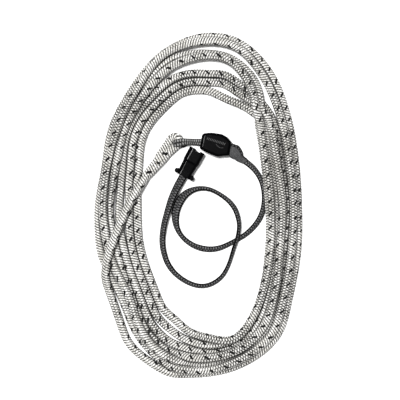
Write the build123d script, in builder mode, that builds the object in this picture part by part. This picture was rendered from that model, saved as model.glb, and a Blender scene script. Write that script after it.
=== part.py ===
"""Rope grab: a hollow braided grip sleeve on a moulded head, with a coiled haul line spliced to it.

Millimetres, +Z up. The origin is the middle of the head's flat underside, and everything lies on z = 0.
The haul line is wound into one long coil around the tool. A rope is pushed in at the mouth fitting, and a
pull on the head draws the sleeve tight around it. Pushing the mouth fitting back bunches the sleeve's tail
and lets the rope go.
"""

import math
import os

from build123d import *

GAP = 0.3  # clearance between pieces that don't hold each other
FIT = 0.02  # clearance between pieces that do

# --- haul line ------------------------------------------------------------------------------------
LINE_D = 11.0  # 7/16 in double braid
COIL_H = 20.5  # two nested layers of line
COIL_ROUND = 6.0  # rounding along the coil's edges
EYE_CENTRE = (-54.5, 2.9)
EYE_R = 13.0  # outside of the small eye
EYE_H = 14.0
EYE_ROUND = 3.5
THROAT_FROM = (2.0, 12.4)  # along the throat and across it, where its side leaves the eye
THROAT_FULL_AT = 19.0
THROAT_TURN = -130.8  # degrees, the way the splice runs from the eye
THROAT_LENGTH = 58.0
THROAT_WIDE = 15.8  # where the tail is buried
THROAT_TAPER = 12.0  # the last stretch, almost down to the line's own size
THROAT_SPARE = 0.8  # half width left over where that stretch starts
STITCH_D = 1.2
STITCH_LENGTH = 5.0
STITCH_COUNT = 4
STITCH_FIRST = 24.0  # from the eye's middle
STITCH_PITCH = 6.0
WHIP_PLACE = (-131.9, -1.5)
WHIP_TURN = -96.3  # degrees
WHIP_LENGTH = 26.0
WHIP_WALL = 0.6
WHIP_ROUND = 1.5

# --- head -----------------------------------------------------------------------------------------
HEAD_TURN = -11.5  # degrees, the head's long axis from +X
HEAD_H = 20.0
SHELL_H = HEAD_H / 2
HEAD_WALL = 2.4
TOP_EDGE = 4.0  # rounding of the upper shell's rim
BASE_EDGE = 3.0
PIN_R = 3.0
PIN_AT = (-8.5, -0.5)
PIN_LAND = 2.0  # width of the land around the socket
PIN_CHAMFER = 0.4
STROP_LOOP_R = 6.8  # outside of the strop where it goes round the pin
STROP_ROOM = 1.0  # around the strop's loop, in the case
STROP_T = 4.8
STROP_SLOT = (12.0, 11.0, 7.0)  # along, across and up
STROP_START = (9.0, 2.6, 9.0)  # the eye's nose, from the eye's middle
STROP_OVER_EYE = 5.0  # how far the strop reaches in past the nose
STROP_AT_EYE = (2.8, 5.0)  # half widths, level and upright
STROP_AT_PIN = (4.6, 2.4)
STROP_PIN_LAP = 2.0
WASHER_R = 5.2
WASHER_T = 0.8
WASHER_SPAN = 8.0  # outside to outside
SCREW_AT = ((-15.0, 8.2), (3.6, 11.0), (3.6, -10.4))
SCREW_R = 1.25
SCREW_HEAD_R = 2.3
SCREW_HEAD_H = 1.8
SCREW_SINK = 0.6  # how deep the head sits below the underside
SCREW_LENGTH = 13.0
SCREW_ROOM = 1.0  # past the screw's end
SCREW_CROSS = (2.6, 0.6, 1.0)
BOSS_R = 2.9

# --- sleeve's fixing in the head ------------------------------------------------------------------
FERRULE = (13.0, 8.6)  # outside, across and up
FERRULE_WALL = 1.2
FERRULE_SPAN = (7.5, 17.0)  # along the head's axis
WRAP_SPAN = (9.0, 17.5)
RING_SPAN = (9.5, 14.0)
BRAID_T = 0.8
RING_WALL = 1.2
FLARE_NECK = 20.2  # the flare keeps the ferrule's size as far as this
FLARE_SWELL = (9.8, 5.4)  # half widths, just clear of the case
FLARE_SWELL_AT = 22.2
FLARE_TURN = -32.0  # degrees, the way the sleeve leaves

# --- grip sleeve ----------------------------------------------------------------------------------
SLEEVE_D = 8.0  # the flat braid's width, which turns as it lies
SLEEVE_TAIL = 18.0

# --- mouth fitting --------------------------------------------------------------------------------
MOUTH_AT = (-42.6, -40.0, 10.0)  # middle of its rear face
MOUTH_TURN = 61.1  # degrees, the way the nose points
BORE_R = 6.0
BUSH_WALL = 1.0
BUSH_LENGTH = 35.0
NOSE = (22.0, 19.0)
NOSE_ROUND = 5.5
WAIST = (19.4, 17.4)
WAIST_GROWS = (1.0, 0.6)
WAIST_ROUND = 5.0
WAIST_SPAN = (6.0, 18.0)
STEP_END = 21.0  # the waist slopes out to the nose
LUG_EDGE = 0.8
SPIGOT_WALL = 0.8
LIP_H = 3.2
LIP_ROUND = 1.2
NOTCH_W = 7.0
NOTCH_DEPTH = 1.8
NOTCH_OFF = 1.0
LUG_TIP = 14.2
LUG_H = 9.0
COLLAR_REAR = -1.0
LUG_SHAPE = [(13.0, -1.0), (14.2, 1.6), (13.4, 4.2), (9.6, 5.9)]  # one side, across and along
CRIMP_SPAN = (9.0, 15.0)
CRIMP_WALL = 0.6
PIN_HOLE_R = 1.0
PIN_HOLE_AT = 1.5
PIN_REACH = (7.1, 13.6)

# --- driving outlines -----------------------------------------------------------------------------
# The coil's outer and inner edge, the long way round from its right side.
COIL_OUTER = [
    (113.0, -79.0), (109.0, -28.0), (96.5, 49.0), (70.0, 106.0), (22.0, 144.5), (-30.0, 148.0),
    (-78.0, 122.0), (-120.0, 67.0), (-147.5, -8.0), (-160.5, -100.0), (-151.0, -186.0), (-125.0, -254.0),
    (-86.0, -293.0), (-23.0, -306.5), (40.0, -292.5), (83.0, -255.0), (103.5, -184.0), (112.0, -128.0),
]
COIL_INNER = [
    (70.6, -85.0), (69.2, -56.0), (65.2, -36.0), (58.7, -6.0), (49.5, 28.0), (16.0, 58.0), (-28.0, 66.5),
    (-66.0, 54.0), (-90.0, 22.0), (-97.5, -40.0), (-99.5, -110.0), (-85.0, -172.0), (-55.0, -222.0),
    (-5.0, -252.0), (32.0, -238.0), (55.0, -196.0), (67.5, -140.0), (70.7, -110.0),
]
# The head's outline: each corner and its rounding.
HEAD_OUTLINE = [
    (-20.5, -8.5, 3.5), (-20.5, 11.5, 4.5), (-9.0, 15.0, 10.0), (5.0, 15.8, 10.0), (13.0, 13.2, 8.0),
    (19.6, 8.0, 4.0), (19.6, -10.4, 3.0), (4.0, -15.0, 12.0), (-9.0, -12.6, 12.0),
]
LEAD_ROUTE = [
    (-90.5, -38.8, 8.5), (-102.5, -57.5, 15.5), (-115.5, -80.0, 21.0), (-126.0, -104.5, 24.0),
    (-136.0, -129.0, 24.5), (-143.5, -153.0, 21.0), (-146.5, -177.0, 14.5), (-143.5, -201.0, 10.5),
]
SLEEVE_ROUTE = [
    (31.9, -16.5, 6.5), (45.0, -24.7, 4.2), (57.0, -38.5, 4.0), (64.2, -56.5, 4.0), (65.0, -78.0, 4.1),
    (58.5, -98.0, 4.0), (43.5, -115.5, 4.1), (25.0, -127.0, 4.0), (0.5, -138.6, 4.0), (-24.5, -136.0, 4.1),
    (-44.5, -123.0, 4.0), (-54.5, -104.0, 4.0), (-52.5, -79.5, 4.1), (-37.5, -60.0, 4.0), (-13.5, -55.0, 4.0),
    (9.0, -66.0, 4.1), (25.0, -81.0, 5.0), (31.0, -101.0, 12.0), (29.5, -118.0, 14.5), (22.5, -138.5, 12.0),
    (17.5, -158.0, 5.0), (7.0, -177.0, 4.0), (-15.5, -188.5, 4.1), (-41.0, -181.0, 4.0), (-63.0, -161.5, 4.1),
    (-71.8, -133.0, 4.5), (-69.5, -107.0, 9.0), (-62.5, -83.0, 13.5), (-57.5, -68.0, 13.0),
    (-51.3, -55.8, 10.0),
]


def turned(degrees):
    """A level unit vector, turned from +X."""
    return Vector(math.cos(math.radians(degrees)), math.sin(math.radians(degrees)), 0)


def head_plane(height=0.0):
    """The head's own plane: +X along its axis, towards the sleeve."""
    return Plane(origin=(0, 0, height), x_dir=turned(HEAD_TURN), z_dir=(0, 0, 1))


def head_section(along):
    """A plane across the head's axis at the shells' joint line: its X is across, its Y is up."""
    middle = turned(HEAD_TURN) * along + Vector(0, 0, SHELL_H)
    return Plane(origin=middle, x_dir=turned(HEAD_TURN - 90), z_dir=turned(HEAD_TURN))


def mouth_section(along):
    """A plane across the mouth fitting's axis: its X is across, its Y is up."""
    middle = Vector(*MOUTH_AT) + turned(MOUTH_TURN) * along
    return Plane(origin=middle, x_dir=turned(MOUTH_TURN - 90), z_dir=turned(MOUTH_TURN))


def route_radii(points, name):
    """Each corner's radius: 0.45 of its shorter run, over the tangent of half its turn."""
    radii = []
    for a, b, c in zip(points, points[1:], points[2:]):
        before, after = Vector(*b) - Vector(*a), Vector(*c) - Vector(*b)
        half_turn = math.radians(before.get_angle(after)) / 2
        radii.append(0.45 * min(before.length, after.length) / math.tan(half_turn))
    print(name, "radii", [round(r) for r in radii], "smallest", round(min(radii), 1))
    return radii


def cord_tube(points, diameter, name):
    """A round tube along straight runs joined by tangent arcs."""
    radii = route_radii(points, name)
    with BuildPart() as tube:
        with BuildLine() as path:
            FilletPolyline(*points, radius=radii)
        route = path.wire()
        with BuildSketch(Plane(origin=route @ 0, z_dir=route % 0)):
            Circle(diameter / 2)
        sweep(path=route)
    share = tube.part.volume / (math.pi * diameter**2 / 4 * route.length)
    print(name, "length", round(route.length, 1), "volume over section times length", round(share, 4))
    save(tube.part, name)


def save(part, name):
    part.label = name
    export_step(part, f"parts/{name}.step")


# --- haul line ------------------------------------------------------------------------------------
def line_coil():
    with BuildPart() as coil:
        with BuildSketch():
            with BuildLine():
                Spline(*COIL_OUTER, periodic=True)
            make_face()
            with BuildLine():
                Spline(*COIL_INNER, periodic=True)
            make_face(mode=Mode.SUBTRACT)
        extrude(amount=COIL_H)
        fillet(coil.edges().group_by(Axis.Z)[0] + coil.edges().group_by(Axis.Z)[-1], COIL_ROUND)
    save(coil.part, "line_coil")


def eye_splice():
    """The closed eye and its throat, which narrows to the line's own size."""
    plane = Plane(origin=(*EYE_CENTRE, 0), x_dir=turned(THROAT_TURN), z_dir=(0, 0, 1))
    wide, narrow = THROAT_WIDE / 2, LINE_D / 2
    side = [
        THROAT_FROM, (THROAT_FULL_AT, wide), (THROAT_LENGTH - THROAT_TAPER, narrow + THROAT_SPARE),
        (THROAT_LENGTH, narrow),
    ]
    other_side = [(x, -y) for x, y in reversed(side)]
    with BuildPart() as eye:
        with BuildSketch(plane):
            Circle(EYE_R)
            with BuildLine():
                Polyline(*side, *other_side, close=True)
            make_face()
        extrude(amount=EYE_H)
        fillet(eye.edges().group_by(Axis.Z)[0] + eye.edges().group_by(Axis.Z)[-1], EYE_ROUND)
    save(eye.part, "eye_splice")


def splice_lock_stitch():
    """Short thread passes that lie across the throat's top."""
    ahead, across = turned(THROAT_TURN), turned(THROAT_TURN + 90)
    top = Vector(*EYE_CENTRE, EYE_H)
    with BuildPart() as stitch:
        for i in range(STITCH_COUNT):
            start = top + ahead * (STITCH_FIRST + STITCH_PITCH * i) - across * (STITCH_LENGTH / 2)
            with BuildSketch(Plane(origin=start, z_dir=across)):
                Circle(STITCH_D / 2)
            extrude(amount=STITCH_LENGTH)
    save(stitch.part, "splice_lock_stitch")


def line_end_whipping():
    radius = LINE_D / 2 + WHIP_WALL
    with BuildPart() as whipping:
        with BuildSketch(Plane(origin=(*WHIP_PLACE, radius), z_dir=turned(WHIP_TURN))):
            Circle(radius)
        extrude(amount=WHIP_LENGTH)
        fillet(whipping.edges().filter_by(GeomType.CIRCLE), WHIP_ROUND)
    save(whipping.part, "line_end_whipping")


def strop():
    """The grey loop: over and under the eye's nose, and round the pin in the head."""
    pin = head_plane(SHELL_H).from_local_coords((*PIN_AT, 0))
    nose = Vector(*EYE_CENTRE, 0) + Vector(*STROP_START)
    ahead = (pin - nose).normalized()
    start = Plane(origin=nose - ahead * STROP_OVER_EYE, x_dir=ahead.cross(Vector(0, 0, 1)), z_dir=ahead)
    run = (pin - nose).length + STROP_OVER_EYE - PIN_R - STROP_PIN_LAP
    with BuildPart() as loop:
        with BuildSketch(start):
            Ellipse(*STROP_AT_EYE)
        with BuildSketch(start.offset(run)):
            Ellipse(*STROP_AT_PIN)
        loft()
        with BuildSketch(head_plane(SHELL_H - STROP_T / 2)):
            with Locations(PIN_AT):
                Circle(STROP_LOOP_R)
        extrude(amount=STROP_T)
        with BuildSketch(head_plane(0)):
            with Locations(PIN_AT):
                Circle(PIN_R + FIT)
        extrude(amount=HEAD_H, mode=Mode.SUBTRACT)
    save(loop.part, "strop")


# --- head -----------------------------------------------------------------------------------------
def head_shell(upper):
    """One half of the case, hollow, with its screw bosses, pin socket and sleeve seat."""
    sign = 1 if upper else -1
    joint = head_plane(SHELL_H)
    seat = [w / 2 + BRAID_T + RING_WALL + GAP for w in FERRULE]
    opening = [w / 2 + BRAID_T + GAP for w in FERRULE]
    screw_hole = SCREW_LENGTH - SHELL_H + SCREW_ROOM if upper else SHELL_H
    with BuildPart() as shell:
        with BuildSketch(joint) as outline:
            with BuildLine():
                Polyline(*[(x, y) for x, y, _ in HEAD_OUTLINE], close=True)
            make_face()
            for x, y, corner in HEAD_OUTLINE:
                fillet(outline.vertices().sort_by_distance((x, y, 0))[0], corner)
        extrude(amount=sign * SHELL_H)
        fillet(shell.edges().group_by(Axis.Z)[-1 if upper else 0], TOP_EDGE if upper else BASE_EDGE)
        with BuildSketch(joint):
            add(outline.sketch_local)
            offset(amount=-HEAD_WALL, mode=Mode.REPLACE)
        extrude(amount=sign * (SHELL_H - HEAD_WALL), mode=Mode.SUBTRACT)
        with BuildSketch(joint):
            with Locations(*SCREW_AT):
                Circle(BOSS_R)
            with Locations(PIN_AT):
                Circle(PIN_R + PIN_LAND)
        extrude(amount=sign * (SHELL_H - HEAD_WALL / 2))  # bosses and socket, rooted in the wall
        with BuildSketch(joint):
            with Locations(PIN_AT):
                Circle(STROP_LOOP_R + STROP_ROOM)
        extrude(amount=sign * (WASHER_SPAN / 2 + FIT), mode=Mode.SUBTRACT)
        with BuildSketch(joint):
            with Locations(PIN_AT):
                Circle(PIN_R + FIT)
        extrude(amount=sign * (SHELL_H - HEAD_WALL), mode=Mode.SUBTRACT)
        with BuildSketch(joint):
            with Locations((HEAD_OUTLINE[0][0], PIN_AT[1])):
                Rectangle(2 * STROP_SLOT[0], STROP_SLOT[1])
        extrude(amount=sign * STROP_SLOT[2] / 2, mode=Mode.SUBTRACT)
        with BuildSketch(head_section(RING_SPAN[0] - GAP)):
            Ellipse(*seat)
        extrude(amount=RING_SPAN[1] - RING_SPAN[0] + 2 * GAP, mode=Mode.SUBTRACT)
        with BuildSketch(head_section(FERRULE_SPAN[0] - GAP)):
            Ellipse(*opening)
        extrude(amount=HEAD_H, mode=Mode.SUBTRACT)
        with BuildSketch(joint):
            with Locations(*SCREW_AT):
                Circle(SCREW_R)
        extrude(amount=sign * screw_hole, mode=Mode.SUBTRACT)
        if not upper:
            with BuildSketch(head_plane()):
                with Locations(*SCREW_AT):
                    Circle(SCREW_HEAD_R + GAP)
            extrude(amount=SCREW_HEAD_H + SCREW_SINK, mode=Mode.SUBTRACT)
    save(shell.part, "head_shell_upper" if upper else "head_shell_lower")


def head_screws():
    seat = SCREW_HEAD_H + SCREW_SINK
    long, narrow, deep = SCREW_CROSS
    with BuildPart() as screws:
        with BuildSketch(head_plane(SCREW_SINK)):
            with Locations(*SCREW_AT):
                Circle(SCREW_HEAD_R)
        extrude(amount=SCREW_HEAD_H)
        with BuildSketch(head_plane(seat)):
            with Locations(*SCREW_AT):
                Circle(SCREW_R - FIT)
        extrude(amount=SCREW_LENGTH - seat)
        with BuildSketch(head_plane(SCREW_SINK)):
            with Locations(*SCREW_AT):
                Rectangle(long, narrow)
                Rectangle(narrow, long)
        extrude(amount=deep, mode=Mode.SUBTRACT)
    save(screws.part, "head_screws")


def strop_pin():
    half = SHELL_H - HEAD_WALL - FIT
    with BuildPart() as pin:
        with BuildSketch(head_plane(SHELL_H - half)):
            with Locations(PIN_AT):
                Circle(PIN_R)
        extrude(amount=2 * half)
        chamfer(pin.edges().filter_by(GeomType.CIRCLE), PIN_CHAMFER)
    save(pin.part, "strop_pin")


def pin_washers():
    low, high = SHELL_H - WASHER_SPAN / 2, SHELL_H + WASHER_SPAN / 2 - WASHER_T
    with BuildPart() as washers:
        for height in (low, high):
            with BuildSketch(head_plane(height)):
                with Locations(PIN_AT):
                    Circle(WASHER_R)
                    Circle(PIN_R + FIT, mode=Mode.SUBTRACT)
            extrude(amount=WASHER_T)
    save(washers.part, "pin_washers")


# --- sleeve's fixing in the head ------------------------------------------------------------------
def oval_tube(span, outer, inner, name):
    """An oval tube on the head's axis, given its half widths and half heights."""
    with BuildPart() as tube:
        with BuildSketch(head_section(span[0])):
            Ellipse(*outer)
            Ellipse(*inner, mode=Mode.SUBTRACT)
        extrude(amount=span[1] - span[0])
    save(tube.part, name)


def sleeve_fixing():
    """The ferrule inside the sleeve's end, and the ring that grips the sleeve on it."""
    ferrule = [w / 2 for w in FERRULE]
    bore = [w - FERRULE_WALL for w in ferrule]
    inner = [w + BRAID_T + FIT for w in ferrule]
    outer = [w + RING_WALL for w in inner]
    oval_tube(FERRULE_SPAN, ferrule, bore, "sleeve_ferrule")
    oval_tube(RING_SPAN, outer, inner, "sleeve_clamp_ring")


def sleeve_flare():
    """The sleeve's spread end: a thin wrap over the ferrule, then a form that closes down to the sleeve."""
    first, second = (Vector(*p) for p in SLEEVE_ROUTE[:2])
    wrap = [w / 2 + BRAID_T for w in FERRULE]
    inside = [w / 2 + FIT for w in FERRULE]
    with BuildPart() as flare:
        with BuildSketch(head_section(FERRULE_SPAN[1] + FIT)):
            Ellipse(*wrap)
        extrude(amount=FLARE_NECK - FERRULE_SPAN[1] - FIT)
        with BuildSketch(head_section(FLARE_NECK)):
            Ellipse(*wrap)
        with BuildSketch(head_section(FLARE_SWELL_AT)):
            Ellipse(*FLARE_SWELL)
        with BuildSketch(Plane(origin=first, x_dir=turned(FLARE_TURN - 90), z_dir=second - first)):
            Circle(SLEEVE_D / 2)
        loft(ruled=True)
        with BuildSketch(head_section(WRAP_SPAN[0])):
            Ellipse(*wrap)
            Ellipse(*inside, mode=Mode.SUBTRACT)
        extrude(amount=WRAP_SPAN[1] - WRAP_SPAN[0])
    save(flare.part, "sleeve_flare")


# --- mouth fitting --------------------------------------------------------------------------------
def pin_plane(side, reach):
    """A plane across a collar pin, on one side of the mouth fitting."""
    out = turned(MOUTH_TURN - 90) * side
    return Plane(origin=mouth_section(PIN_HOLE_AT).origin + out * reach, z_dir=out)


def mouth_barrel():
    liner = BORE_R + BUSH_WALL + FIT
    grown = [w + g for w, g in zip(WAIST, WAIST_GROWS)]
    with BuildPart() as barrel:
        with BuildSketch(mouth_section(WAIST_SPAN[0])):
            RectangleRounded(*WAIST, WAIST_ROUND)
        with BuildSketch(mouth_section(WAIST_SPAN[1])):
            RectangleRounded(*grown, WAIST_ROUND)
        loft()
        with BuildSketch(mouth_section(WAIST_SPAN[1])):
            RectangleRounded(*grown, WAIST_ROUND)
        with BuildSketch(mouth_section(STEP_END)):
            RectangleRounded(*NOSE, NOSE_ROUND)
        loft()
        with BuildSketch(mouth_section(STEP_END)):
            RectangleRounded(*NOSE, NOSE_ROUND)
        extrude(amount=BUSH_LENGTH - STEP_END)
        with BuildSketch(mouth_section(0)):
            Circle(liner + SPIGOT_WALL)
        extrude(amount=WAIST_SPAN[0])
        with BuildSketch(mouth_section(0)):
            Circle(liner)
        extrude(amount=BUSH_LENGTH, mode=Mode.SUBTRACT)
        with BuildSketch(mouth_section(CRIMP_SPAN[0] - FIT)):
            Circle(liner + CRIMP_WALL + FIT)
        extrude(amount=CRIMP_SPAN[1] - CRIMP_SPAN[0] + 2 * FIT, mode=Mode.SUBTRACT)
        for side in (1, -1):
            with BuildSketch(pin_plane(side, BORE_R)):
                Circle(PIN_HOLE_R + FIT)
            extrude(amount=LUG_TIP - BORE_R, mode=Mode.SUBTRACT)
    save(barrel.part, "mouth_barrel")


def mouth_bush():
    """The smooth liner that the rope slides into."""
    with BuildPart() as bush:
        with BuildSketch(mouth_section(0)):
            Circle(BORE_R + BUSH_WALL)
            Circle(BORE_R, mode=Mode.SUBTRACT)
        extrude(amount=BUSH_LENGTH)
    save(bush.part, "mouth_bush")


def mouth_lip_ring():
    """The rounded ring at the nose, notched right across so that a rope's end can be started."""
    ahead = Axis((0, 0, 0), tuple(turned(MOUTH_TURN)))
    with BuildPart() as lip:
        with BuildSketch(mouth_section(BUSH_LENGTH)):
            RectangleRounded(*NOSE, NOSE_ROUND)
        extrude(amount=LIP_H)
        fillet(lip.faces().sort_by(ahead)[-1].edges(), LIP_ROUND)
        with BuildSketch(mouth_section(BUSH_LENGTH)):
            Circle(BORE_R + GAP)
        extrude(amount=LIP_H, mode=Mode.SUBTRACT)
        with BuildSketch(mouth_section(BUSH_LENGTH + LIP_H - NOTCH_DEPTH)):
            with Locations((NOTCH_OFF, 0)):
                Rectangle(NOTCH_W, 2 * NOSE[1])
        extrude(amount=NOTCH_DEPTH, mode=Mode.SUBTRACT)
    save(lip.part, "mouth_lip_ring")


def mouth_lug_collar():
    rear = Axis((0, 0, 0), tuple(turned(MOUTH_TURN)))
    spigot = BORE_R + BUSH_WALL + SPIGOT_WALL + 2 * FIT
    under = Vector(*MOUTH_AT) - Vector(0, 0, LUG_H / 2)
    other_side = [(-x, y) for x, y in reversed(LUG_SHAPE)]
    with BuildPart() as collar:
        with BuildSketch(mouth_section(COLLAR_REAR)):
            RectangleRounded(*WAIST, WAIST_ROUND)
        extrude(amount=WAIST_SPAN[0] - COLLAR_REAR - FIT)
        with BuildSketch(Plane(origin=under, x_dir=turned(MOUTH_TURN - 90), z_dir=(0, 0, 1))):
            with BuildLine():
                Polyline(*LUG_SHAPE, *other_side, close=True)
            make_face()
        extrude(amount=LUG_H)
        fillet(collar.faces().sort_by(rear)[0].edges(), LUG_EDGE)
        with BuildSketch(mouth_section(COLLAR_REAR)):
            Circle(spigot)
        extrude(amount=WAIST_SPAN[0] - COLLAR_REAR, mode=Mode.SUBTRACT)
        for side in (1, -1):
            with BuildSketch(pin_plane(side, PIN_REACH[0])):
                Circle(PIN_HOLE_R + FIT)
            extrude(amount=LUG_TIP - PIN_REACH[0], mode=Mode.SUBTRACT)
    save(collar.part, "mouth_lug_collar")


def mouth_crimp_ring():
    inner = BORE_R + BUSH_WALL + FIT
    with BuildPart() as ring:
        with BuildSketch(mouth_section(CRIMP_SPAN[0])):
            Circle(inner + CRIMP_WALL)
            Circle(inner, mode=Mode.SUBTRACT)
        extrude(amount=CRIMP_SPAN[1] - CRIMP_SPAN[0])
    save(ring.part, "mouth_crimp_ring")


def collar_pins():
    with BuildPart() as pins:
        for side in (1, -1):
            with BuildSketch(pin_plane(side, PIN_REACH[0])):
                Circle(PIN_HOLE_R)
            extrude(amount=PIN_REACH[1] - PIN_REACH[0])
    save(pins.part, "collar_pins")


def sleeve_tail():
    """The sleeve's last stretch, which bunches behind the mouth fitting."""
    with BuildPart() as tail:
        with BuildSketch(mouth_section(FIT - SLEEVE_TAIL)):
            Circle(SLEEVE_D / 2)
        extrude(amount=SLEEVE_TAIL - 2 * FIT)
    save(tail.part, "sleeve_tail")


def main():
    os.makedirs("parts", exist_ok=True)
    line_coil()
    cord_tube(LEAD_ROUTE, LINE_D, "line_lead")
    eye_splice()
    splice_lock_stitch()
    line_end_whipping()
    strop()
    head_shell(upper=True)
    head_shell(upper=False)
    head_screws()
    strop_pin()
    pin_washers()
    sleeve_fixing()
    sleeve_flare()
    cord_tube(SLEEVE_ROUTE, SLEEVE_D, "grip_sleeve")
    sleeve_tail()
    mouth_barrel()
    mouth_bush()
    mouth_lip_ring()
    mouth_lug_collar()
    mouth_crimp_ring()
    collar_pins()


main()
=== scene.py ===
"""Looks of the rope grab: braided line, sleeve and strop, and a finish for every CAD piece."""

import math

import bpy
import numpy as np
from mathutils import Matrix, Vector


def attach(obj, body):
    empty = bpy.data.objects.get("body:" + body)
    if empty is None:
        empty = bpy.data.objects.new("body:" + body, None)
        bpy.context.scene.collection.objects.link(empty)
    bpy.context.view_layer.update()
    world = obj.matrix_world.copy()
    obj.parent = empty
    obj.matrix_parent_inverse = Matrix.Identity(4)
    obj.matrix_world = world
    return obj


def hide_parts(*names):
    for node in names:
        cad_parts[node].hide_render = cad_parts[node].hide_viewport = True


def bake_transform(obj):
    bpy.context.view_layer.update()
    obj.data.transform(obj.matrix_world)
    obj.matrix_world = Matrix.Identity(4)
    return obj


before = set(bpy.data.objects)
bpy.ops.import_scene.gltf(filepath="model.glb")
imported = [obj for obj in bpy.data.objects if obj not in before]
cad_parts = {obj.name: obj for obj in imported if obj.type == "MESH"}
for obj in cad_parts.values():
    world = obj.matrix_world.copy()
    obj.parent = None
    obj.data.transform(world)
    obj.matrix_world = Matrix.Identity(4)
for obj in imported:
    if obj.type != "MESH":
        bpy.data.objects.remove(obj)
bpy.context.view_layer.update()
MM = 0.001

# --- camera ---------------------------------------------------------------------------------------
VIEW_CENTRE = (-0.0209, -0.0723)
VIEW_WIDTH = 0.528
CAMERA_HEIGHT = 2.4
SUBJECT_HEIGHT = 0.01  # the height at which the picture is VIEW_WIDTH wide
CLIP_END = 20


def add_camera():
    data = bpy.data.cameras.new("camera")
    data.sensor_fit = "HORIZONTAL"
    data.angle = 2 * math.atan(VIEW_WIDTH / 2 / (CAMERA_HEIGHT - SUBJECT_HEIGHT))
    data.clip_end = CLIP_END
    camera = bpy.data.objects.new("camera", data)
    camera.location = (*VIEW_CENTRE, CAMERA_HEIGHT)
    bpy.context.scene.collection.objects.link(camera)
    bpy.context.scene.camera = camera


add_camera()

# --- routes, in metres ----------------------------------------------------------------------------
LINE_D = 0.011
LEAD_ROUTE = [
    (-0.0905, -0.0388, 0.0085), (-0.1025, -0.0575, 0.0155), (-0.1155, -0.08, 0.021),
    (-0.126, -0.1045, 0.024), (-0.136, -0.129, 0.0245), (-0.1435, -0.153, 0.021),
    (-0.1465, -0.177, 0.0145), (-0.1435, -0.201, 0.0105),
]
SLEEVE_ROUTE = [
    (0.0319, -0.0165, 0.0065), (0.045, -0.0247, 0.0042), (0.057, -0.0385, 0.004),
    (0.0642, -0.0565, 0.004), (0.065, -0.078, 0.0041), (0.0585, -0.098, 0.004),
    (0.0435, -0.1155, 0.0041), (0.025, -0.127, 0.004), (0.0005, -0.1386, 0.004),
    (-0.0245, -0.136, 0.0041), (-0.0445, -0.123, 0.004), (-0.0545, -0.104, 0.004),
    (-0.0525, -0.0795, 0.0041), (-0.0375, -0.06, 0.004), (-0.0135, -0.055, 0.004),
    (0.009, -0.066, 0.0041), (0.025, -0.081, 0.005), (0.031, -0.101, 0.012),
    (0.0295, -0.118, 0.0145), (0.0225, -0.1385, 0.012), (0.0175, -0.158, 0.005),
    (0.007, -0.177, 0.004), (-0.0155, -0.1885, 0.0041), (-0.041, -0.181, 0.004),
    (-0.063, -0.1615, 0.0041), (-0.0718, -0.133, 0.0045), (-0.0695, -0.107, 0.009),
    (-0.0625, -0.083, 0.0135), (-0.0575, -0.068, 0.013), (-0.0513, -0.0558, 0.01),
]

# The coil in millimetres, station by station from the lower left, counter-clockwise. OUTER_EDGE is
# its outer edge. STRANDS has, for each strand, how far in from that edge it lies and which layer it
# lies in, in the order the line passes through them.
OUTER_EDGE = [
    (-144.9, -207.0), (-121.2, -261.1), (-75.0, -296.7), (-18.2, -304.7), (39.9, -291.5),
    (83.4, -253.2), (101.9, -196.4), (111.1, -138.3), (113.0, -78.9), (108.5, -19.5),
    (98.0, 40.0), (75.0, 97.0), (33.0, 139.0), (-19.5, 147.5), (-73.7, 124.5),
    (-111.9, 78.5), (-137.0, 26.7), (-151.5, -30.1), (-159.5, -89.5), (-158.0, -148.9),
]
STRANDS = [
    ("first", [4, 4, 3.5, 3.5, 5.5, 3.5, 5, 4, 5, 4.5,
               4.5, 4, 4.5, 5, 5.5, 4.5, 4, 5.5, 4.5, 10.5],
     [1, 0, 0, 0, 0, 0, 0, 0, 0, 0, 0, 0, 0, 0, 0, 0, 0, 0, 0, 0]),
    ("second", [21, 21, 12.5, 6.5, 12, 10.5, 11, 10.5, 10, 11,
                12.5, 13.5, 10.5, 10, 6.5, 8.5, 11, 7.5, 10.5, 20],
     [0, 0, 0, 1, 1, 1, 1, 1, 1, 1, 1, 1, 1, 1, 1, 1, 1, 1, 1, 0]),
    ("third", [31, 28.5, 20, 15, 18.5, 17, 18.5, 20.5, 17, 21,
               23, 45, 50, 54.5, 41, 30.5, 21, 28.5, 31.5, 37],
     [1, 1, 1, 0, 0, 0, 0, 0, 0, 0, 0, 0, 0, 0, 0, 0, 0, 0, 0, 0]),
    ("fourth", [43.5, 42, 39, 31.5, 29, 32.5, 31.5, 33, 33.5, 35.5,
                37, 69, 78.5, 76, 64.5, 50, 41, 49, 56, 58],
     [0, 0, 0, 0, 0, 0, 0, 0, 0, 0, 0, 0, 0, 0, 0, 0, 0, 0, 0, 0]),
    ("fifth", [62.5, 68, 67.5, 51, 39, 43.5, 39.5, 39.5, 41, 43,
               42, 35.5, 30.5, 29.5, 25, 20.5, 16, 18.5, 18.5, 29],
     [0, 0, 0, 0, 1, 1, 1, 1, 1, 1, 1, 2, 1, 1, 1, 1, 0, 1, 1, 0]),
    ("sixth", [37, 34.5, 27.5, 24, 24, 25, 24.5, 27.5, 25.5, 28.5,
               30.5, 50, 62.5, 64.5, 53, 41.5, 30.5, 39.5, 45, 47.5],
     [0, 0, 0, 1, 1, 1, 1, 1, 1, 1, 1, 0, 0, 0, 0, 0, 0, 0, 0, 0]),
    ("seventh", [53.5, 55.5, 53, 41, 35.5, 41, 37, 37, 40.5,
                 41.5, 41, 26.5, 27.5, 26.5, 17, 17, 13, 16.5],
     [0, 0, 0, 0, 0, 0, 0, 0, 0, 0, 0, 1, 0, 0, 0, 0, 0, 0]),
]
LAYER_RISE = 9.8  # from one layer's centre line to the next

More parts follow.
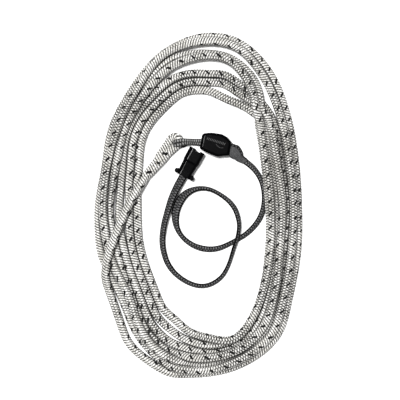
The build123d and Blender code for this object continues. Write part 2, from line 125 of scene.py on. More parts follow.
# How the coil is settled, in millimetres and steps.
PER_RUN = 8  # points from one station to the next
POINT_STEP = 12.0  # from one control point of the line to the next
RELAX_STEPS = 360
SEARCH_EVERY = 12  # steps between searches for strands that are near each other
SETTLE_FROM, LAST_FROM, NO_GRAVITY_FROM = 0.45, 0.8, 0.95  # shares of the steps
OWN_REACH = 6  # points along the line that don't count as another strand
HELD_POINTS = 5  # next to the splice
LEAD_LENGTH = 150
TAIL_POINTS = 6  # inside the whipping
FLOOR_ROOM, TAIL_FLOOR_ROOM = 0.3, 0.8
GRAVITY = 0.08
STIFFNESS = 0.9
MOST_MOVE = 1.5


def catmull(points, closed, per_run):
    """Points along a smooth curve through the given ones."""
    p = np.array(points, float)
    if closed:
        p = np.vstack([p[-1], p, p[:2]])
    else:
        p = np.vstack([2 * p[0] - p[1], p, 2 * p[-1] - p[-2]])
    out = []
    for a, b, c, d in zip(p, p[1:], p[2:], p[3:]):
        for t in np.arange(per_run) / per_run:
            out.append(0.5 * (2 * b + (c - a) * t + (2 * a - 5 * b + 4 * c - d) * t**2
                              + (3 * b - a - 3 * c + d) * t**3))
    if not closed:
        out.append(p[-2])
    return np.array(out)


def distance_along(points):
    """How far along the polyline each of its points is."""
    return np.concatenate([[0], np.cumsum(np.linalg.norm(np.diff(points, axis=0), axis=1))])


def resampled(points, step):
    """The polyline again, with points one step apart."""
    s = distance_along(points)
    count = max(2, int(round(s[-1] / step)) + 1)
    at = np.linspace(0, s[-1], count)
    return np.stack([np.interp(at, s, points[:, i]) for i in range(points.shape[1])], axis=1)


def coil_targets():
    """Where the strands want to lie, in millimetres, from the lead's end to the line's tail end."""
    edge = catmull(OUTER_EDGE, True, PER_RUN)
    ahead = np.roll(edge, -1, axis=0) - np.roll(edge, 1, axis=0)
    ahead /= np.linalg.norm(ahead, axis=1)[:, None]
    inward = np.stack([-ahead[:, 1], ahead[:, 0]], axis=1)
    depths = np.concatenate([row for _, row, _ in STRANDS])
    layers = np.concatenate([row for _, _, row in STRANDS])
    lane = catmull(np.stack([depths, layers], axis=1), False, PER_RUN)
    k = np.arange(len(lane)) % len(edge)
    place = edge[k] + inward[k] * lane[:, :1]
    height = LINE_D / MM / 2 + LAYER_RISE * np.clip(lane[:, 1:], 0, 2)
    return np.hstack([place, height])


def relaxed_line():
    """The whole line's control points: strands pushed off one another and settled on the floor."""
    d = LINE_D / MM
    lead = np.array(LEAD_ROUTE) / MM
    joined = np.vstack([catmull(lead[:-1], False, PER_RUN), coil_targets()[PER_RUN:]])
    home = resampled(joined, POINT_STEP / 2)
    x = home.copy()
    n = len(x)
    index = np.arange(n)
    apart = np.abs(index[:, None] - index[None, :]) > OWN_REACH
    lead_part = index * POINT_STEP / 2 < LEAD_LENGTH
    low = np.full(n, d / 2 + FLOOR_ROOM)
    low[-TAIL_POINTS:] = d / 2 + TAIL_FLOOR_ROOM
    for step in range(RELAX_STEPS):
        if step % SEARCH_EVERY == 0:
            gap = np.linalg.norm(x[:, None, :] - x[None, :, :], axis=2)
            a, b = np.nonzero(np.triu(apart & (gap < d * 1.5)))
        settle = step > RELAX_STEPS * SETTLE_FROM
        last = step > RELAX_STEPS * LAST_FROM
        move = np.zeros_like(x)
        # back toward the place each strand has in the photo, and down
        move[:, :2] += (home[:, :2] - x[:, :2]) * (0.05 if last else 0.12)
        rise = np.where(lead_part, 0.02, 0.01 if settle else 0.06)
        weightless = (lead_part & (not settle)) | (step > RELAX_STEPS * NO_GRAVITY_FROM)
        move[:, 2] += (home[:, 2] - x[:, 2]) * rise - np.where(weightless, 0.0, GRAVITY)
        # against bending
        bend = np.zeros_like(x)
        bend[2:-2] = (x[:-4] - 4 * x[1:-3] + 6 * x[2:-2] - 4 * x[3:-1] + x[4:]) / 16
        move -= bend * STIFFNESS
        # off the strands that are nearer than a line's width
        away = x[b] - x[a]
        size = np.maximum(np.linalg.norm(away, axis=1), 0.1)
        short = np.clip(d * 1.01 - size, 0, None)
        give = np.array([0.4, 0.4, 0.45] if last else [0.2, 0.2, 0.45])
        push = away / size[:, None] * short[:, None] * give
        hits = np.bincount(np.concatenate([a[short > 0], b[short > 0]]), minlength=n)
        total = np.zeros_like(x)
        np.add.at(total, a, -push)
        np.add.at(total, b, push)
        move += total * (1 / np.sqrt(np.maximum(hits, 1)))[:, None]
        move[:HELD_POINTS] = 0
        x += np.clip(move, -MOST_MOVE, MOST_MOVE)
        x[:, 2] = np.maximum(x[:, 2], low)
    return x[::2] * MM


def spline_points(points, step):
    """Points one step apart along the NURBS spline that has these control points."""
    data = bpy.data.curves.new("route", "CURVE")
    data.dimensions = "3D"
    data.resolution_u = 8
    spline = data.splines.new("NURBS")
    spline.points.add(len(points) - 1)
    for point, co in zip(spline.points, points):
        point.co = (*[float(v) for v in co], 1)
    spline.order_u = 3
    spline.use_endpoint_u = True
    thing = bpy.data.objects.new("route", data)
    bpy.context.scene.collection.objects.link(thing)
    bpy.context.view_layer.update()
    solved = thing.evaluated_get(bpy.context.evaluated_depsgraph_get())
    mesh = bpy.data.meshes.new_from_object(solved)
    got = np.array([v.co for v in mesh.vertices])
    bpy.data.objects.remove(thing)
    bpy.data.meshes.remove(mesh)
    bpy.data.curves.remove(data)
    return resampled(got, step)


# --- meshes ---------------------------------------------------------------------------------------
def new_object(name, verts, faces, uvs=None, smooth=True):
    """A mesh object; uvs are per corner, in the faces' order."""
    mesh = bpy.data.meshes.new(name)
    mesh.from_pydata([tuple(map(float, v)) for v in verts], [],
                     [tuple(int(i) for i in f) for f in faces])
    if uvs is not None:
        layer = mesh.uv_layers.new(name="UVMap")
        layer.data.foreach_set("uv", np.array(uvs, np.float32).ravel())
    for polygon in mesh.polygons:
        polygon.use_smooth = smooth
    mesh.update()
    thing = bpy.data.objects.new(name, mesh)
    bpy.context.scene.collection.objects.link(thing)
    return thing


def frames(points):
    """Unit vectors ahead, across and up at each point of a route."""
    steep = 0.25  # a run steeper than this keeps the last point's across
    ahead = np.gradient(points, axis=0)
    ahead /= np.linalg.norm(ahead, axis=1)[:, None]
    across = np.cross(ahead, [0, 0, 1.0])
    size = np.linalg.norm(across, axis=1)
    for i in range(len(across)):
        if size[i] < steep:
            across[i] = across[i - 1] if i else np.array([1.0, 0, 0])
            across[i] -= ahead[i] * (across[i] @ ahead[i])
            size[i] = np.linalg.norm(across[i])
    across /= size[:, None]
    for i in range(1, len(across)):
        if across[i] @ across[i - 1] < 0:
            across[i:] *= -1
    return ahead, across, np.cross(across, ahead)


def tube(name, points, half_across, half_up, sides, turn=None, relief=None, start_uv=0.0):
    """A closed tube with an oval section. Its UV map is metres along by turns around."""
    n = len(points)
    _, across, up = frames(points)
    run = distance_along(points) + start_uv
    a = np.broadcast_to(np.asarray(half_across, float), n)
    b = np.broadcast_to(np.asarray(half_up, float), n)
    turn = np.zeros(n) if turn is None else np.broadcast_to(np.asarray(turn, float), n)
    angle = np.arange(sides) / sides * 2 * math.pi
    u = np.cos(angle)[None, :] * a[:, None]
    v = np.sin(angle)[None, :] * b[:, None]
    if relief is not None:
        grow = relief(run[:, None], angle[None, :] / (2 * math.pi))
        u, v = u * (1 + grow / a[:, None]), v * (1 + grow / b[:, None])
    c, s = np.cos(turn)[:, None], np.sin(turn)[:, None]
    across_by, up_by = u * c - v * s, u * s + v * c
    verts = (points[:, None, :] + across[:, None, :] * across_by[..., None]
             + up[:, None, :] * up_by[..., None]).reshape(-1, 3)
    i, j = np.meshgrid(np.arange(n - 1), np.arange(sides), indexing="ij")
    k = (j + 1) % sides
    faces = np.stack([i * sides + j, i * sides + k, (i + 1) * sides + k, (i + 1) * sides + j], -1)
    faces = faces.reshape(-1, 4)
    uv = np.stack([
        np.stack([run[i], j / sides], -1), np.stack([run[i], (j + 1) / sides], -1),
        np.stack([run[i + 1], (j + 1) / sides], -1), np.stack([run[i + 1], j / sides], -1),
    ], -2).reshape(-1, 2)
    caps = [list(range(sides))[::-1], [(n - 1) * sides + q for q in range(sides)]]
    cap_uv = [(run[0], q / sides) for q in reversed(range(sides))]
    cap_uv += [(run[-1], q / sides) for q in range(sides)]
    return new_object(name, verts, list(faces) + caps, np.vstack([uv, cap_uv]))


# --- materials ------------------------------------------------------------------------------------
class Paint:
    """A material's node tree, with short calls for the usual nodes."""

    def __init__(self, name):
        self.material = bpy.data.materials.new(name)
        self.material.use_nodes = True
        self.tree = self.material.node_tree
        self.shader = self.tree.nodes["Principled BSDF"]

    def put(self, socket, value):
        if isinstance(value, bpy.types.NodeSocket):
            self.tree.links.new(value, socket)
        else:
            socket.default_value = value

    def math(self, op, a, b=0.0, c=0.0):
        node = self.tree.nodes.new("ShaderNodeMath")
        node.operation = op
        for socket, value in zip(node.inputs, (a, b, c)):
            self.put(socket, value)
        return node.outputs[0]

    def uv(self):
        node = self.tree.nodes.new("ShaderNodeUVMap")
        node.uv_map = "UVMap"
        split = self.tree.nodes.new("ShaderNodeSeparateXYZ")
        self.put(split.inputs[0], node.outputs[0])
        return split.outputs[0], split.outputs[1]

    def shade(self, name):
        """A shade stored on the mesh's points."""
        node = self.tree.nodes.new("ShaderNodeVertexColor")
        node.layer_name = name
        split = self.tree.nodes.new("ShaderNodeSeparateColor")
        self.put(split.inputs[0], node.outputs[0])
        return split.outputs[0]

    def noise(self, scale, detail=3.0, rough=0.55):
        place = self.tree.nodes.new("ShaderNodeTexCoord")
        node = self.tree.nodes.new("ShaderNodeTexNoise")
        self.put(node.inputs["Vector"], place.outputs["Object"])
        node.inputs["Scale"].default_value = scale
        node.inputs["Detail"].default_value = detail
        node.inputs["Roughness"].default_value = rough
        return node.outputs[0]

    def mix(self, factor, a, b):
        node = self.tree.nodes.new("ShaderNodeMix")
        node.data_type = "RGBA"
        self.put(node.inputs[0], factor)
        self.put(node.inputs[6], (*a, 1) if isinstance(a, tuple) else a)
        self.put(node.inputs[7], (*b, 1) if isinstance(b, tuple) else b)
        return node.outputs[2]

    def bump(self, height, strength, distance):
        node = self.tree.nodes.new("ShaderNodeBump")
        node.inputs["Strength"].default_value = strength
        node.inputs["Distance"].default_value = distance
        self.put(node.inputs["Height"], height)
        self.tree.links.new(node.outputs[0], self.shader.inputs["Normal"])

    def between(self, value, low, high):
        """0 at low to 1 at high, smoothly."""
        node = self.tree.nodes.new("ShaderNodeMapRange")
        node.interpolation_type = "SMOOTHSTEP"
        self.put(node.inputs[0], value)
        node.inputs[1].default_value = low
        node.inputs[2].default_value = high
        return node.outputs[0]


PICK = 0.0036  # along the line, from grain to grain
ROWS_ROUND = 4.0  # grains around the line, in each of two interleaved sets
FLECK_PITCH = 0.018  # along the line, from fleck to fleck
FLECK_HALF = (3.5, 1.4)
LINE_SIDES = 24
LINE_R = 0.0053  # to the braid's mean surface; its grains stand out to the full diameter
SLEEVE_PICK = 0.0036
SLEEVE_ROWS = 3.0


def braid(paint, pick, around):
    """A diagonal braid on the UV map: u, v, how far each family is from the middle of its own
    strip (0 to 0.5), and which family lies on top (0 or 1)."""
    u, v = paint.uv()
    along = paint.math("DIVIDE", u, pick)
    p = paint.math("MULTIPLY_ADD", v, around, along)
    q = paint.math("SUBTRACT", along, paint.math("MULTIPLY", v, around))
    fp, fq = paint.math("FRACT", p), paint.math("FRACT", q)
    ep = paint.math("ABSOLUTE", paint.math("SUBTRACT", fp, 0.5))
    eq = paint.math("ABSOLUTE", paint.math("SUBTRACT", fq, 0.5))
    whole = paint.math("ADD", paint.math("FLOOR", p), paint.math("FLOOR", q))
    parity = paint.math("FRACT", paint.math("MULTIPLY", whole, 0.5))
    return u, v, ep, eq, paint.math("GREATER_THAN", parity, 0.25)


def flecks(paint, u, v):
    """1 inside the black tracer flecks: slanted dashes in two rows that wander along the line."""
    wander = paint.math("MULTIPLY", paint.noise(22, 2), 0.9)
    row = paint.math("ADD", paint.math("DIVIDE", u, FLECK_PITCH), wander)
    du = paint.math("MULTIPLY", paint.math("SUBTRACT", paint.math("FRACT", row), 0.5), 17.0)
    side = paint.math("FRACT", paint.math("MULTIPLY", v, 2.0))
    dv = paint.math("MULTIPLY", paint.math("SUBTRACT", side, 0.5), 17.3)
    slant = math.radians(45)
    c, s = math.cos(slant), math.sin(slant)
    along = paint.math("SUBTRACT", paint.math("MULTIPLY", du, c), paint.math("MULTIPLY", dv, s))
    over = paint.math("ADD", paint.math("MULTIPLY", du, s), paint.math("MULTIPLY", dv, c))
    inside = [paint.math("LESS_THAN", paint.math("ABSOLUTE", value), half)
              for value, half in zip((along, over), FLECK_HALF)]
    return paint.math("MULTIPLY", *inside)


def line_paint(name, tracer):
    """Off-white double braid: pale grains with painted shade between them, slanted black flecks,
    and painted shade where strands touch.
    """
    paint = Paint(name)
    u, v, ep, eq, top = braid(paint, PICK, ROWS_ROUND)
    # outside the crossed patches the grooves of one family are faint, and the rest read as ribs
    crossed = paint.between(paint.noise(14, 2), 0.46, 0.60)
    ep = paint.math("MULTIPLY", ep, paint.math("MULTIPLY_ADD", crossed, 0.42, 0.54))
    edge = paint.math("MAXIMUM", ep, eq)
    side = paint.math("MULTIPLY_ADD", top, 0.5, -0.25)
    edge = paint.math("ADD", edge, paint.math("MULTIPLY", paint.math("SUBTRACT", ep, eq), side))
    # painted shade: the grooves and pits between the grains are painted near black, weaker in
    # random patches
    patchiness = paint.between(paint.noise(420, 2), 0.34, 0.6)
    groove = paint.math("MULTIPLY", paint.between(edge, 0.16, 0.35),
                        paint.math("MULTIPLY_ADD", patchiness, 0.35, 0.65))
    pit_shade = paint.between(edge, 0.37, 0.48)
    tone = paint.between(paint.noise(90, 4), 0.35, 0.7)
    soiled = paint.between(paint.noise(18, 3), 0.45, 0.75)
    woven = paint.mix(tone, (0.90, 0.89, 0.86), (0.68, 0.67, 0.63))
    woven = paint.mix(paint.math("MULTIPLY", soiled, 0.35), woven, (0.50, 0.475, 0.42))
    woven = paint.mix(groove, woven, (0.020, 0.019, 0.016))
    woven = paint.mix(paint.math("MULTIPLY", pit_shade, 0.9), woven, (0.006, 0.006, 0.005))
    if tracer:
        woven = paint.mix(flecks(paint, u, v), woven, (0.004, 0.004, 0.004))
    # painted shade, near black, where the line faces another strand it touches
    shaded = paint.math("MULTIPLY", paint.shade("painted_contact_shade"), 0.93)
    woven = paint.mix(shaded, woven, (0.010, 0.009, 0.008))
    paint.put(paint.shader.inputs["Base Color"], woven)
    paint.shader.inputs["Roughness"].default_value = 0.8
    paint.shader.inputs["Specular IOR Level"].default_value = 0.25
    paint.bump(paint.math("SUBTRACT", 1.0, groove), 0.9, 0.0007)
    return paint.material


def dark_braid_paint(name, pick, around, low, high, rim=0.74):
    """Charcoal plait: grey picks with painted shade between them, and painted shade along each edge
    of the braid.
    """
    paint = Paint(name)
    _, v, ep, eq, top = braid(paint, pick, around)
    edge = paint.math("MAXIMUM", ep, eq)
    # painted shade: the hollows between the picks go to the near-black low colour
    crown = paint.math("SUBTRACT", 1.0, paint.between(edge, 0.22, 0.47))
    wear = paint.between(paint.noise(260, 4), 0.36, 0.66)
    share = paint.math("MULTIPLY", crown, paint.math("MULTIPLY_ADD", wear, 0.45, 0.55))
    share = paint.math("MULTIPLY", share, paint.math("MULTIPLY_ADD", top, 0.3, 0.7))
    # painted shade along both narrow edges of the flat braid, where it turns away from the light
    level = paint.math("ABSOLUTE", paint.math("COSINE", paint.math("MULTIPLY", v, 2 * math.pi)))
    outer = paint.math("MULTIPLY", paint.between(level, rim - 0.1, rim + 0.08), 0.95)
    share = paint.math("MULTIPLY", share, paint.math("SUBTRACT", 1.0, outer))
    paint.put(paint.shader.inputs["Base Color"], paint.mix(share, low, high))
    paint.shader.inputs["Roughness"].default_value = 0.6
    paint.shader.inputs["Specular IOR Level"].default_value = 0.04
    paint.bump(crown, 0.9, 0.0004)
    return paint.material


def flare_paint(name):
    """The spread braid: a smooth, rubbed face between plaited rims, with painted shade between the
    rims' picks.
    """
    paint = Paint(name)
    _, v, ep, eq, _ = braid(paint, 0.0032, 8.0)
    crown = paint.math("SUBTRACT", 1.0, paint.between(paint.math("MAXIMUM", ep, eq), 0.15, 0.45))
    level = paint.math("COSINE", paint.math("MULTIPLY", v, 2 * math.pi))
    rim = paint.math("MAXIMUM", paint.between(level, 0.82, 0.95),
                     paint.math("SUBTRACT", 1.0, paint.between(level, -0.62, -0.38)))
    # painted shade: the hollows between the rims' picks are painted near black
    plait = paint.mix(crown, (0.001, 0.001, 0.001), (0.075, 0.075, 0.077))
    patchiness = paint.between(paint.noise(700, 3), 0.35, 0.65)
    face = paint.mix(patchiness, (0.04, 0.04, 0.041), (0.085, 0.085, 0.087))
    paint.put(paint.shader.inputs["Base Color"], paint.mix(rim, face, plait))
    paint.shader.inputs["Roughness"].default_value = 0.6
    paint.shader.inputs["Specular IOR Level"].default_value = 0.04
    paint.bump(crown, 0.5, 0.0003)
    return paint.material


def moulded_paint(name, base, rough, gloss=0.03):
    """A black moulding with a fine texture and a little rubbed wear."""
    paint = Paint(name)
    rub = paint.between(paint.noise(60, 5, 0.65), 0.58, 0.8)
    light = tuple(min(1.0, c * 1.8 + 0.004) for c in base)
    paint.put(paint.shader.inputs["Base Color"], paint.mix(rub, base, light))
    paint.put(paint.shader.inputs["Roughness"], paint.math("MULTIPLY_ADD", rub, 0.2, rough))
    paint.shader.inputs["Specular IOR Level"].default_value = gloss
    paint.bump(paint.noise(1500, 2), 0.15, 0.0001)
    return paint.material


def metal_paint(name, base):
    paint = Paint(name)
    marks = paint.noise(400, 4)
    dull = tuple(c * 0.7 for c in base)
    paint.put(paint.shader.inputs["Base Color"], paint.mix(marks, base, dull))
    paint.shader.inputs["Metallic"].default_value = 1.0
    paint.put(paint.shader.inputs["Roughness"], paint.math("MULTIPLY_ADD", marks, 0.25, 0.25))
    return paint.material


LINE = line_paint("line_braid", tracer=True)
EYE_LINE = line_paint("splice_braid", tracer=False)
SLEEVE = dark_braid_paint("sleeve_braid", SLEEVE_PICK, SLEEVE_ROWS, (0.001, 0.001, 0.001),
                          (0.15, 0.15, 0.153))
STROP = dark_braid_paint("strop_braid", 0.0030, 2.0, (0.003, 0.003, 0.003),
                         (0.30, 0.30, 0.295), rim=0.9)
FLARE = flare_paint("flare_braid")
CASE = moulded_paint("case_black", (0.0015, 0.0015, 0.0018), 0.13)
LINER = moulded_paint("liner_black", (0.004, 0.004, 0.004), 0.16)
WHIP = moulded_paint("whipping_black", (0.02, 0.02, 0.02), 0.6)
STITCH = moulded_paint("stitch_thread", (0.5, 0.48, 0.43), 0.7)
MARK = moulded_paint("mark_grey", (0.09, 0.09, 0.09), 0.5)
STEEL = metal_paint("plain_steel", (0.62, 0.62, 0.61))


def finish_piece(thing, material, body, *nodes, slot):
    """Paint a visible piece, tie it to its body and hide the CAD nodes it stands in for."""
    thing.data.materials.clear()
    thing.data.materials.append(material)
    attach(thing, body)
    if nodes:
        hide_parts(*nodes)
    return thing


# --- haul line ------------------------------------------------------------------------------------
STRANDS_NEAR = 0.0135  # two strands' centre lines nearer than this share a shaded crevice


def line_relief(run, around):
    """Grains standing proud of the line's surface, in metres."""
    p, q = run / PICK + around * ROWS_ROUND, run / PICK - around * ROWS_ROUND
    return -0.00018 * (np.cos(2 * math.pi * p) + np.cos(2 * math.pi * q))


def contact_shade_amount(points, roll, sides):
    """How much painted shade each point round the line gets for facing another strand: 0 in the
    open, 1 at a contact.
    """
    step = 5  # strands are compared at every fifth ring
    own = 12  # rings so compared that don't count as another strand
    _, across, up = frames(points)
    middles, across, up = points[::step], across[::step], up[::step]
    n = len(middles)
    angle = np.arange(sides)[None, :] / sides * 2 * math.pi + roll[::step][:, None]
    out = across[:, None, :] * np.cos(angle)[..., None] + up[:, None, :] * np.sin(angle)[..., None]
    gap = np.linalg.norm(middles[:, None, :] - middles[None, :, :], axis=2)
    apart = np.abs(np.arange(n)[:, None] - np.arange(n)[None, :]) > own
    i, k = np.nonzero(apart & (gap < STRANDS_NEAR))
    toward = (middles[k] - middles[i]) / gap[i, k][:, None]
    facing = np.einsum("psx,px->ps", out[i], toward)
    near = np.clip((STRANDS_NEAR - gap[i, k]) / 0.0018, 0, 1)
    depth = np.clip((facing - 0.74) / 0.16, 0, 1) * near[:, None]
    coarse = np.zeros((n, sides))
    np.maximum.at(coarse, i, depth)
    at = np.arange(len(points)) / step
    return np.stack([np.interp(at, np.arange(n), coarse[:, q]) for q in range(sides)], axis=1)


def store_shade(thing, name, values):
    """Keep one value a point as a grey colour layer, for Paint.shade."""
    layer = thing.data.color_attributes.new(name=name, type="FLOAT_COLOR", domain="POINT")
    flat = np.repeat(np.asarray(values, np.float32).ravel()[:, None], 4, axis=1)
    flat[:, 3] = 1
    layer.data.foreach_set("color", flat.ravel())


line_points = spline_points(relaxed_line(), 0.0008)
line_length = float(np.linalg.norm(np.diff(line_points, axis=0), axis=1).sum())
line_run = np.linspace(0, line_length, len(line_points))
# the line rolls as it runs, so its flecks come and go
line_roll = 0.9 * np.sin(line_run / 0.31) + 0.7 * np.sin(line_run / 0.117 + 1.3) + line_run * 2.0
line = tube("haul_line", line_points, LINE_R, LINE_R, LINE_SIDES, line_roll, line_relief)
# painted shade where the line's strands touch, stored on its points
store_shade(line, "painted_contact_shade", contact_shade_amount(line_points, line_roll, LINE_SIDES))
finish_piece(line, LINE, "root", "line_coil", "line_lead", slot="line")


def whipping_piece():
    """The whipped tail end: ribs of twine around the last of the line."""
    length, radius, rib_pitch, rib_height = 0.026, 0.0061, 0.0015, 0.00015

    def ribs(run, around):
        return rib_height * np.cos(2 * math.pi * run / rib_pitch) + 0 * around

    end = line_points[-int(length / (line_length / len(line_points))):]
    piece = tube("tail_whipping", end, radius, radius, LINE_SIDES, relief=ribs)
    return finish_piece(piece, WHIP, "root", "line_end_whipping", slot="whipping")


whipping = whipping_piece()

# --- eye splice -----------------------------------------------------------------------------------
EYE_CENTRE = np.array([-0.0545, 0.0029, 0.007])
THROAT_TURN = math.radians(-130.8)
BACK = np.array([math.cos(THROAT_TURN), math.sin(THROAT_TURN), 0])  # from the eye down the throat
SIDE = np.array([-BACK[1], BACK[0], 0])


def rise_at(along):
    """How far the throat's centre line has risen above the eye's."""
    return 0.0015 * (along - 0.010) / 0.05


def eye_pieces():
    """The bight, one tube round the small eye, and the thick throat that its legs run into."""
    open_half = math.radians(62)
    angle = np.linspace(open_half, 2 * math.pi - open_half, 60)
    middle = EYE_CENTRE - SIDE * 0.0015
    ring = middle + np.outer(np.cos(angle), BACK) * 0.0086 + np.outer(np.sin(angle), SIDE) * 0.0060
    ring[:, 2] += 0.0022 * np.exp(-((angle - math.pi) / 0.8) ** 2)  # the nose stands a little up
    leg_in = middle + BACK * 0.030 + SIDE * 0.0024
    leg_out = middle + BACK * 0.030 - SIDE * 0.0024
    path = resampled(catmull(np.vstack([leg_in, ring[::6], ring[-1], leg_out]), False, 12), 0.0008)
    bight = tube("eye_bight", path, 0.0051, 0.0055, LINE_SIDES, relief=line_relief)
    finish_piece(bight, EYE_LINE, "root", slot="line")
    s = np.linspace(0.016, 0.0595, 70)
    throat_path = EYE_CENTRE + np.outer(s, BACK)
    throat_path[:, 2] += rise_at(s)
    wide = np.interp(s, [0.016, 0.019, 0.025, 0.046, 0.058, 0.0595],
                     [0.0055, 0.0074, 0.0079, 0.0066, 0.0057, 0.0054])
    tall = np.interp(s, [0.010, 0.022, 0.046, 0.0595], [0.0055, 0.0068, 0.0063, 0.0055])
    throat = tube("eye_throat", throat_path, wide, tall, 28, relief=line_relief)
    finish_piece(throat, LINE, "root", "eye_splice", slot="line")


eye_pieces()


def lock_stitches():
    """Thread passes that lie over the throat's crown, one object."""
    verts, faces = [], []
    sides, rings, thread_r = 8, 12, 0.0005
    for i in range(4):
        place = 0.024 + 0.006 * i
        middle = EYE_CENTRE + BACK * place
        tall = 0.0068 - 0.0002 * i
        reach = np.linspace(-0.0028, 0.0028, rings)
        path = middle + np.outer(reach, SIDE + BACK * 0.25 * (-1) ** i)
        path[:, 2] += tall * np.sqrt(1 - (reach / 0.0076) ** 2) + 0.0003 + rise_at(place)
        _, across, up = frames(path)
        base = len(verts)
        for p, a, u in zip(path, across, up):
            for q in range(sides):
                w = 2 * math.pi * q / sides
                verts.append(p + thread_r * (math.cos(w) * a + math.sin(w) * u))
        for r in range(rings - 1):
            for q in range(sides):
                k = (q + 1) % sides
                faces.append([base + r * sides + q, base + r * sides + k,
                              base + (r + 1) * sides + k, base + (r + 1) * sides + q])
        faces.append([base + q for q in reversed(range(sides))])
        faces.append([base + (rings - 1) * sides + q for q in range(sides)])
    stitches = new_object("lock_stitches", verts, faces)
    finish_piece(stitches, STITCH, "root", "splice_lock_stitch", slot="stitching")


lock_stitches()

# --- strop ----------------------------------------------------------------------------------------
HEAD_TURN = math.radians(-11.5)


def head_point(along, across, up):
    """A point given in the head's own directions, from its middle."""
    c, s = math.cos(HEAD_TURN), math.sin(HEAD_TURN)
    return np.array([along * c - across * s, along * s + across * c, up])


def strop_piece():
    """A doubled cord from the head: both legs go over the eye's nose and join under the eye."""
    upper = [(-0.0140, 0.0056, 0.0110), (-0.0205, 0.0058, 0.0112), (-0.0310, 0.0059, 0.0125),
             (-0.0395, 0.0062, 0.0150), (-0.0450, 0.0064, 0.0162), (-0.0505, 0.0056, 0.0148),
             (-0.0545, 0.0046, 0.0100), (-0.0550, 0.0042, 0.0040), (-0.0510, 0.0046, 0.0027),
             (-0.0450, 0.0050, 0.0026), (-0.0405, 0.0028, 0.0026)]
    lower = [(-0.0430, -0.0002, 0.0026), (-0.0490, -0.0012, 0.0027), (-0.0545, -0.0010, 0.0040),
             (-0.0550, -0.0006, 0.0100), (-0.0515, 0.0000, 0.0148), (-0.0455, 0.0012, 0.0158),
             (-0.0400, 0.0026, 0.0142), (-0.0310, 0.0032, 0.0105), (-0.0205, 0.0022, 0.0098),
             (-0.0140, 0.0016, 0.0096)]
    path = resampled(catmull(upper + lower, False, 12), 0.0006)
    finish_piece(tube("strop_cord", path, 0.0026, 0.0024, 20), STROP, "root", "strop", slot="strop")


strop_piece()


# --- flare and sleeve -----------------------------------------------------------------------------
def smoothed(values, reach):
    """The values with each one averaged over its neighbours."""
    kernel = np.hanning(2 * reach + 1) / np.hanning(2 * reach + 1).sum()
    return np.convolve(np.pad(values, reach, mode="edge"), kernel, mode="valid")


def flare_piece():
    """The sleeve's end, spread over the ferrule: an oval at the case that closes to the sleeve."""
    first, second = np.array(SLEEVE_ROUTE[0]), np.array(SLEEVE_ROUTE[1])
    points = np.array([
        head_point(0.0125, 0, 0.010), head_point(0.0175, -0.0002, 0.010),
        head_point(0.0225, -0.0014, 0.0096),
        first * 0.5 + head_point(0.0265, -0.0030, 0.0088) * 0.5, first, first * 0.4 + second * 0.6,
    ])
    path = resampled(catmull(points, False, 14), 0.0006)
    s = np.linspace(0, 1, len(path))
    places = [0, 0.26, 0.36, 0.5, 0.7, 0.85, 1]
    wide = np.interp(s, places, [0.0072, 0.0074, 0.0098, 0.0090, 0.0062, 0.0047, 0.0042])
    tall = np.interp(s, places, [0.0050, 0.0051, 0.0054, 0.0052, 0.0040, 0.0030, 0.0022])
    piece = tube("sleeve_spread", path, smoothed(wide, 4), smoothed(tall, 4), 32)
    finish_piece(piece, FLARE, "root", "sleeve_flare", slot="sleeve")


flare_piece()

MOUTH_AT = np.array([-0.0426, -0.04, 0.01])
MOUTH_TURN = math.radians(61.1)
MOUTH_AHEAD = np.array([math.cos(MOUTH_TURN), math.sin(MOUTH_TURN), 0])
TAIL = 0.018  # the part of the sleeve that bunches behind the mouth
# Share of the sleeve's length, and how far the flat braid is twisted there, in degrees.
SLEEVE_TWIST = [
    (0, 8), (0.06, 30), (0.1, 15), (0.17, 25), (0.22, 45), (0.28, 10), (0.34, 50), (0.375, 10),
    (0.42, 5), (0.46, 50), (0.5, 55), (0.55, 30), (0.6, 68), (0.65, 65), (0.7, 45), (0.77, 40),
    (0.85, 25), (0.93, 15), (1, 5),
]


def sleeve_relief(run, around):
    """Picks standing proud of the sleeve's surface, in metres."""
    p, q = run / SLEEVE_PICK + around * SLEEVE_ROWS, run / SLEEVE_PICK - around * SLEEVE_ROWS
    return 0.00018 * np.cos(2 * math.pi * p) * np.cos(2 * math.pi * q)


def sleeve_pieces():
    """The sleeve's free length, and its last stretch, which runs on into the mouth."""
    step, sides = 0.0009, 20
    tail_from = MOUTH_AT - MOUTH_AHEAD * TAIL
    route = spline_points(SLEEVE_ROUTE, step)
    ends = [MOUTH_AT - MOUTH_AHEAD * (TAIL - 0.004), MOUTH_AT + MOUTH_AHEAD * 0.004]
    whole = resampled(np.vstack([route, *ends]), step)
    run = distance_along(whole)
    share = np.clip(run / (run[-1] - TAIL), 0, 1)
    places, turns = zip(*SLEEVE_TWIST)
    turn = smoothed(np.radians(np.interp(share, places, turns)), 20)
    fuller = np.clip((share - 0.93) / 0.07, 0, 1)  # toward the mouth
    bump = np.exp(-((share - 0.405) / 0.035) ** 2)  # where the braid lies open
    thick = 0.0019 + 0.0015 * fuller
    wide = 0.0040 + 0.0017 * bump + 0.0012 * fuller
    cut = int(np.argmin(np.linalg.norm(whole - tail_from, axis=1)))
    first, rest = slice(0, cut + 1), slice(cut, None)
    main = tube("sleeve_free", whole[first], wide[first], thick[first], sides, turn[first],
                sleeve_relief)
    finish_piece(main, SLEEVE, "root", "grip_sleeve", slot="sleeve")
    tail = tube("sleeve_bunch", whole[rest], wide[rest], thick[rest], sides, turn[rest],
                sleeve_relief, start_uv=run[cut])
    tail.data.materials.append(SLEEVE)
    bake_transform(tail)
    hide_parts("sleeve_tail")


sleeve_pieces()


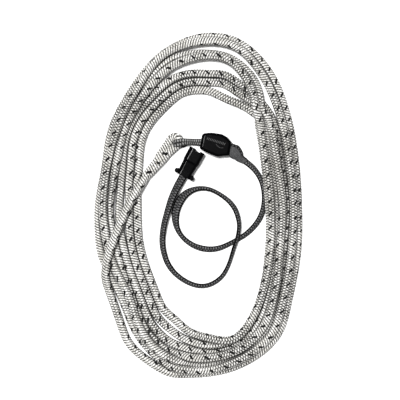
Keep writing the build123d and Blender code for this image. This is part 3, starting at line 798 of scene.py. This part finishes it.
# --- marks on the head ----------------------------------------------------------------------------
def marks():
    """Generic slanted ribs and an arc of dashes where the case carries its moulded marks."""
    top, thick = 0.02005, 0.0004
    verts, faces = [], []

    def slab(outline):
        base = len(verts)
        n = len(outline)
        for z in (top - thick, top):
            verts.extend(head_point(x * MM, y * MM, z) for x, y in outline)
        faces.append([base + n + q for q in range(n)])
        faces.append([base + q for q in reversed(range(n))])
        for q in range(n):
            k = (q + 1) % n
            faces.append([base + q, base + k, base + n + k, base + n + q])

    for i in range(12):
        x = -12.6 + 2.15 * i
        y = 6.2 - 0.11 * (x + 12.6)
        slab([(x - 0.9, y - 1.5), (x - 0.2, y - 1.5), (x + 0.9, y + 1.5), (x + 0.2, y + 1.5)])
    for i in range(6):
        a, b = math.radians(214 + 14 * i), math.radians(214 + 14 * i + 8)
        corners = ((8.0, a), (8.6, a), (8.6, b), (8.0, b))
        slab([(7 + r * math.cos(w), 6 + r * math.sin(w)) for r, w in corners])
    piece = new_object("case_marks", verts, faces, smooth=False)
    finish_piece(piece, MARK, "root", slot="case")


marks()

# --- finishes for the CAD pieces ------------------------------------------------------------------
FINISHES = [
    (CASE, ("head_shell_upper", "head_shell_lower", "mouth_barrel", "mouth_lip_ring",
            "mouth_lug_collar")),
    (LINER, ("mouth_bush",)),
    (STEEL, ("head_screws", "strop_pin", "pin_washers", "sleeve_ferrule", "sleeve_clamp_ring",
             "mouth_crimp_ring", "collar_pins")),
]
for material, nodes in FINISHES:
    for node in nodes:
        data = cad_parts[node].data
        data.materials.clear()
        data.materials.append(material)


# --- floor and light ------------------------------------------------------------------------------
def add_floor():
    half = 3.0
    corners = [(-half, -half, 0), (half, -half, 0), (half, half, 0), (-half, half, 0)]
    floor = new_object("floor", corners, [[0, 1, 2, 3]], smooth=False)
    paint = Paint("floor_pale")
    paint.shader.inputs["Base Color"].default_value = (0.9, 0.9, 0.9, 1)
    paint.shader.inputs["Roughness"].default_value = 0.9
    floor.data.materials.append(paint.material)


def add_sun(name, come_from, softness, power):
    """A sun lamp; softness is how many degrees wide it looks."""
    data = bpy.data.lights.new(name, "SUN")
    data.angle = math.radians(softness)
    data.energy = power
    light = bpy.data.objects.new(name, data)
    light.rotation_euler = (-Vector(come_from)).to_track_quat("-Z", "Y").to_euler()
    bpy.context.scene.collection.objects.link(light)


add_floor()
add_sun("key", (-0.34, 0.30, 2.3), 10, 4.6)
add_sun("fill", (0.5, -0.5, 2.2), 30, 0.35)
world = bpy.data.worlds.new("studio")
world.use_nodes = True
background = world.node_tree.nodes["Background"]
background.inputs["Color"].default_value = (1, 1, 1, 1)
background.inputs["Strength"].default_value = 0.10
bpy.context.scene.world = world
bpy.context.scene.view_settings.view_transform = "Standard"
